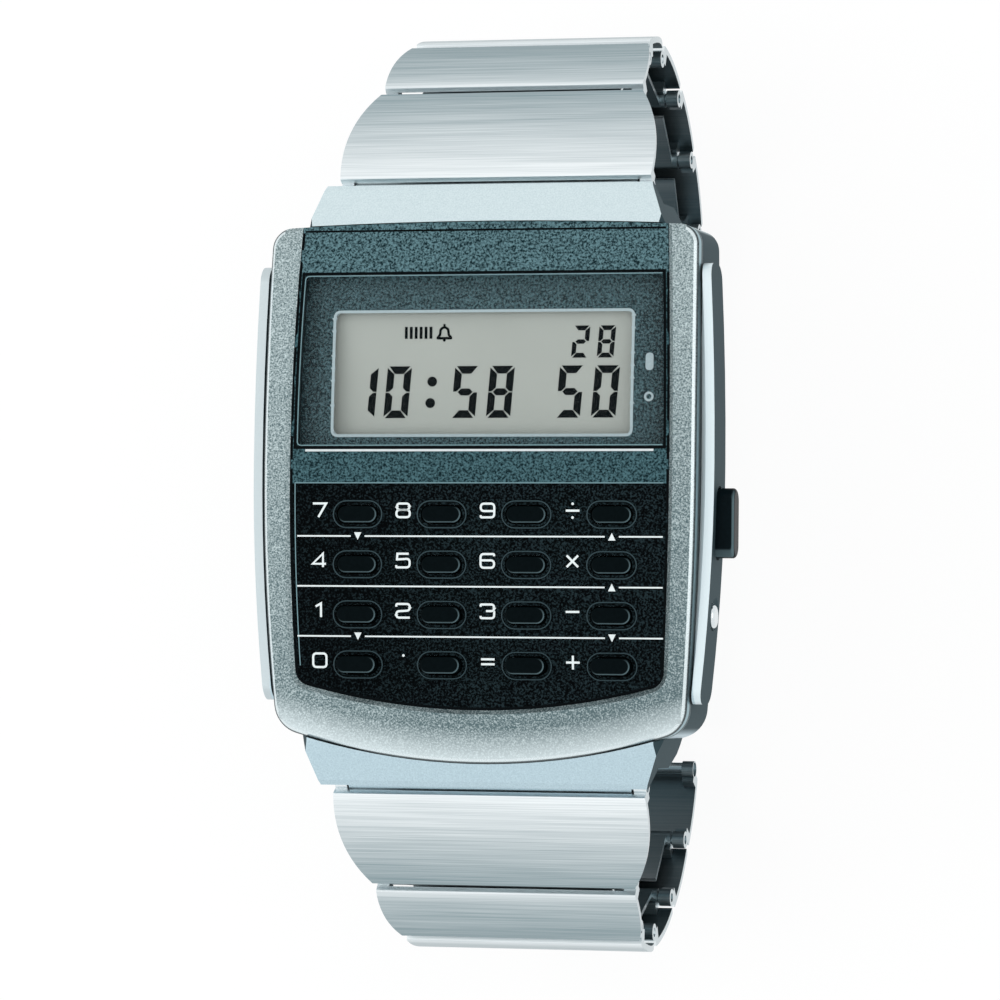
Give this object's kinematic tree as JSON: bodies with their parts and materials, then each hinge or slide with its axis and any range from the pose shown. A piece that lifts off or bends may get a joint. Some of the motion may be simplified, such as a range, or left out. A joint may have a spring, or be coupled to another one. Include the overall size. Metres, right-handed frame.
{
  "type": "calculator watch",
  "caption": "Digital wristwatch with a calculator keypad under its display, two side buttons and a hinged metal bracelet with a folding clasp.",
  "frame": {"origin": "on the flat outer face of the closed clasp, on which the watch stands, straight under the middle of the dial", "axes": "+Z out of the dial, +Y towards 12 o'clock, +X towards 3 o'clock, where the side buttons are"},
  "size_m": [0.0354, 0.068, 0.0361],
  "materials": {
    "case_steel": "satin",
    "blasted_steel": "sand blasted",
    "bracelet_steel": "brushed across",
    "polished_steel": "polished",
    "panel_black": "matte",
    "mask_teal": "satin",
    "window_glass": "clear",
    "display_grey": "satin",
    "key_black": "satin",
    "rubber_black": "matte",
    "rubber_grey": "matte",
    "board_green": "satin",
    "part_black": "matte",
    "contact_brass": "polished",
    "button_black": "gloss"
  },
  "bodies": {
    "head": {"case_body": "case_steel", "front_bezel": "blasted_steel", "face_panel": "panel_black", "display_window": "window_glass", "display_mask": "mask_teal", "display_cell": "display_grey", "contact_ribs": "rubber_grey", "keypad_membrane": "rubber_grey", "circuit_board": "board_green", "board_components": "part_black", "module_holder": "part_black", "coin_cell": "polished_steel", "battery_clip": "polished_steel", "buzzer_disc": "contact_brass", "buzzer_contact": "contact_brass", "back_gasket": "rubber_black", "case_back": "case_steel", "back_screws": "polished_steel", "button_gaskets": "rubber_black", "switch_leaves": "contact_brass", "lug_bars": "polished_steel"},
    "link_12_1": {"link_12_1": "bracelet_steel"},
    "link_12_2": {"link_12_2": "bracelet_steel"},
    "link_12_3": {"link_12_3": "bracelet_steel"},
    "link_12_4": {"link_12_4": "bracelet_steel"},
    "link_12_5": {"link_12_5": "bracelet_steel"},
    "link_12_6": {"link_12_6": "bracelet_steel"},
    "link_6_1": {"link_6_1": "bracelet_steel"},
    "link_6_2": {"link_6_2": "bracelet_steel"},
    "link_6_3": {"link_6_3": "bracelet_steel"},
    "link_6_4": {"link_6_4": "bracelet_steel"},
    "link_6_5": {"link_6_5": "bracelet_steel"},
    "link_6_6": {"link_6_6": "bracelet_steel", "catch_bar": "polished_steel"},
    "clasp_frame": {"clasp_frame": "bracelet_steel", "clasp_spring_bar": "polished_steel", "clasp_arm_pin": "polished_steel"},
    "clasp_arm": {"clasp_arm": "bracelet_steel"},
    "clasp_cover": {"clasp_cover": "bracelet_steel", "clasp_cover_pin": "polished_steel"},
    "mode_button": {"mode_button": "button_black"},
    "adjust_button": {"adjust_button": "polished_steel"},
    "key_1_1": {"key_1_1": "key_black"},
    "key_1_2": {"key_1_2": "key_black"},
    "key_1_3": {"key_1_3": "key_black"},
    "key_1_4": {"key_1_4": "key_black"},
    "key_2_1": {"key_2_1": "key_black"},
    "key_2_2": {"key_2_2": "key_black"},
    "key_2_3": {"key_2_3": "key_black"},
    "key_2_4": {"key_2_4": "key_black"},
    "key_3_1": {"key_3_1": "key_black"},
    "key_3_2": {"key_3_2": "key_black"},
    "key_3_3": {"key_3_3": "key_black"},
    "key_3_4": {"key_3_4": "key_black"},
    "key_4_1": {"key_4_1": "key_black"},
    "key_4_2": {"key_4_2": "key_black"},
    "key_4_3": {"key_4_3": "key_black"},
    "key_4_4": {"key_4_4": "key_black"}
  },
  "joints": [
    {"name": "link_12_1_hinge", "type": "hinge", "parent": "head", "child": "link_12_1", "pos_m": [0, 0.0215, 0.03116], "axis": [1, 0, 0], "range_deg": [0, 44]},
    {"name": "link_12_2_hinge", "type": "hinge", "parent": "link_12_1", "child": "link_12_2", "pos_m": [0, 0.02846, 0.02646], "axis": [1, 0, 0], "range_deg": [0, 27]},
    {"name": "link_12_3_hinge", "type": "hinge", "parent": "link_12_2", "child": "link_12_3", "pos_m": [0, 0.03213, 0.02159], "axis": [1, 0, 0], "range_deg": [0, 40]},
    {"name": "link_12_4_hinge", "type": "hinge", "parent": "link_12_3", "child": "link_12_4", "pos_m": [0, 0.03267, 0.01551], "axis": [1, 0, 0], "range_deg": [0, 36]},
    {"name": "link_12_5_hinge", "type": "hinge", "parent": "link_12_4", "child": "link_12_5", "pos_m": [0, 0.03028, 0.0099], "axis": [1, 0, 0], "range_deg": [0, 29]},
    {"name": "link_12_6_hinge", "type": "hinge", "parent": "link_12_5", "child": "link_12_6", "pos_m": [0, 0.02605, 0.00551], "axis": [1, 0, 0], "range_deg": [0, 25]},
    {"name": "link_6_1_hinge", "type": "hinge", "parent": "head", "child": "link_6_1", "pos_m": [0, -0.0215, 0.03116], "axis": [-1, 0, 0], "range_deg": [0, 44]},
    {"name": "link_6_2_hinge", "type": "hinge", "parent": "link_6_1", "child": "link_6_2", "pos_m": [0, -0.02846, 0.02646], "axis": [-1, 0, 0], "range_deg": [0, 27]},
    {"name": "link_6_3_hinge", "type": "hinge", "parent": "link_6_2", "child": "link_6_3", "pos_m": [0, -0.03213, 0.02159], "axis": [-1, 0, 0], "range_deg": [0, 40]},
    {"name": "link_6_4_hinge", "type": "hinge", "parent": "link_6_3", "child": "link_6_4", "pos_m": [0, -0.03267, 0.01551], "axis": [-1, 0, 0], "range_deg": [0, 36]},
    {"name": "link_6_5_hinge", "type": "hinge", "parent": "link_6_4", "child": "link_6_5", "pos_m": [0, -0.03028, 0.0099], "axis": [-1, 0, 0], "range_deg": [0, 29]},
    {"name": "link_6_6_hinge", "type": "hinge", "parent": "link_6_5", "child": "link_6_6", "pos_m": [0, -0.02605, 0.00551], "axis": [-1, 0, 0], "range_deg": [0, 25]},
    {"name": "clasp_frame_hinge", "type": "hinge", "parent": "link_12_6", "child": "clasp_frame", "pos_m": [0, 0.02071, 0.00255], "axis": [1, 0, 0], "range_deg": [0, 37]},
    {"name": "clasp_cover_open", "type": "hinge", "parent": "clasp_arm", "child": "clasp_cover", "pos_m": [0, 0.01611, 0.00135], "axis": [1, 0, 0], "range_deg": [0, 140]},
    {"name": "clasp_arm_fold", "type": "hinge", "parent": "clasp_frame", "child": "clasp_arm", "pos_m": [0, -0.01251, 0.00135], "axis": [-1, 0, 0], "range_deg": [0, 126]},
    {"name": "mode_button_press", "type": "slide", "parent": "head", "child": "mode_button", "axis": [-1, 0, 0], "range_m": [0, 0.0007], "stiffness_N_per_m": 600, "springref_m": -0.0005},
    {"name": "adjust_button_press", "type": "slide", "parent": "head", "child": "adjust_button", "axis": [-1, 0, 0], "range_m": [0, 0.0007], "stiffness_N_per_m": 600, "springref_m": -0.0005},
    {"name": "key_1_1_press", "type": "slide", "parent": "head", "child": "key_1_1", "axis": [0, 0, -1], "range_m": [0, 0.0004], "stiffness_N_per_m": 400, "springref_m": -0.0004},
    {"name": "key_1_2_press", "type": "slide", "parent": "head", "child": "key_1_2", "axis": [0, 0, -1], "range_m": [0, 0.0004], "stiffness_N_per_m": 400, "springref_m": -0.0004},
    {"name": "key_1_3_press", "type": "slide", "parent": "head", "child": "key_1_3", "axis": [0, 0, -1], "range_m": [0, 0.0004], "stiffness_N_per_m": 400, "springref_m": -0.0004},
    {"name": "key_1_4_press", "type": "slide", "parent": "head", "child": "key_1_4", "axis": [0, 0, -1], "range_m": [0, 0.0004], "stiffness_N_per_m": 400, "springref_m": -0.0004},
    {"name": "key_2_1_press", "type": "slide", "parent": "head", "child": "key_2_1", "axis": [0, 0, -1], "range_m": [0, 0.0004], "stiffness_N_per_m": 400, "springref_m": -0.0004},
    {"name": "key_2_2_press", "type": "slide", "parent": "head", "child": "key_2_2", "axis": [0, 0, -1], "range_m": [0, 0.0004], "stiffness_N_per_m": 400, "springref_m": -0.0004},
    {"name": "key_2_3_press", "type": "slide", "parent": "head", "child": "key_2_3", "axis": [0, 0, -1], "range_m": [0, 0.0004], "stiffness_N_per_m": 400, "springref_m": -0.0004},
    {"name": "key_2_4_press", "type": "slide", "parent": "head", "child": "key_2_4", "axis": [0, 0, -1], "range_m": [0, 0.0004], "stiffness_N_per_m": 400, "springref_m": -0.0004},
    {"name": "key_3_1_press", "type": "slide", "parent": "head", "child": "key_3_1", "axis": [0, 0, -1], "range_m": [0, 0.0004], "stiffness_N_per_m": 400, "springref_m": -0.0004},
    {"name": "key_3_2_press", "type": "slide", "parent": "head", "child": "key_3_2", "axis": [0, 0, -1], "range_m": [0, 0.0004], "stiffness_N_per_m": 400, "springref_m": -0.0004},
    {"name": "key_3_3_press", "type": "slide", "parent": "head", "child": "key_3_3", "axis": [0, 0, -1], "range_m": [0, 0.0004], "stiffness_N_per_m": 400, "springref_m": -0.0004},
    {"name": "key_3_4_press", "type": "slide", "parent": "head", "child": "key_3_4", "axis": [0, 0, -1], "range_m": [0, 0.0004], "stiffness_N_per_m": 400, "springref_m": -0.0004},
    {"name": "key_4_1_press", "type": "slide", "parent": "head", "child": "key_4_1", "axis": [0, 0, -1], "range_m": [0, 0.0004], "stiffness_N_per_m": 400, "springref_m": -0.0004},
    {"name": "key_4_2_press", "type": "slide", "parent": "head", "child": "key_4_2", "axis": [0, 0, -1], "range_m": [0, 0.0004], "stiffness_N_per_m": 400, "springref_m": -0.0004},
    {"name": "key_4_3_press", "type": "slide", "parent": "head", "child": "key_4_3", "axis": [0, 0, -1], "range_m": [0, 0.0004], "stiffness_N_per_m": 400, "springref_m": -0.0004},
    {"name": "key_4_4_press", "type": "slide", "parent": "head", "child": "key_4_4", "axis": [0, 0, -1], "range_m": [0, 0.0004], "stiffness_N_per_m": 400, "springref_m": -0.0004}
  ],
  "couplings": [
    {"joint": "clasp_arm_fold", "follows": "clasp_cover_open", "ratio": 0.9}
  ]
}
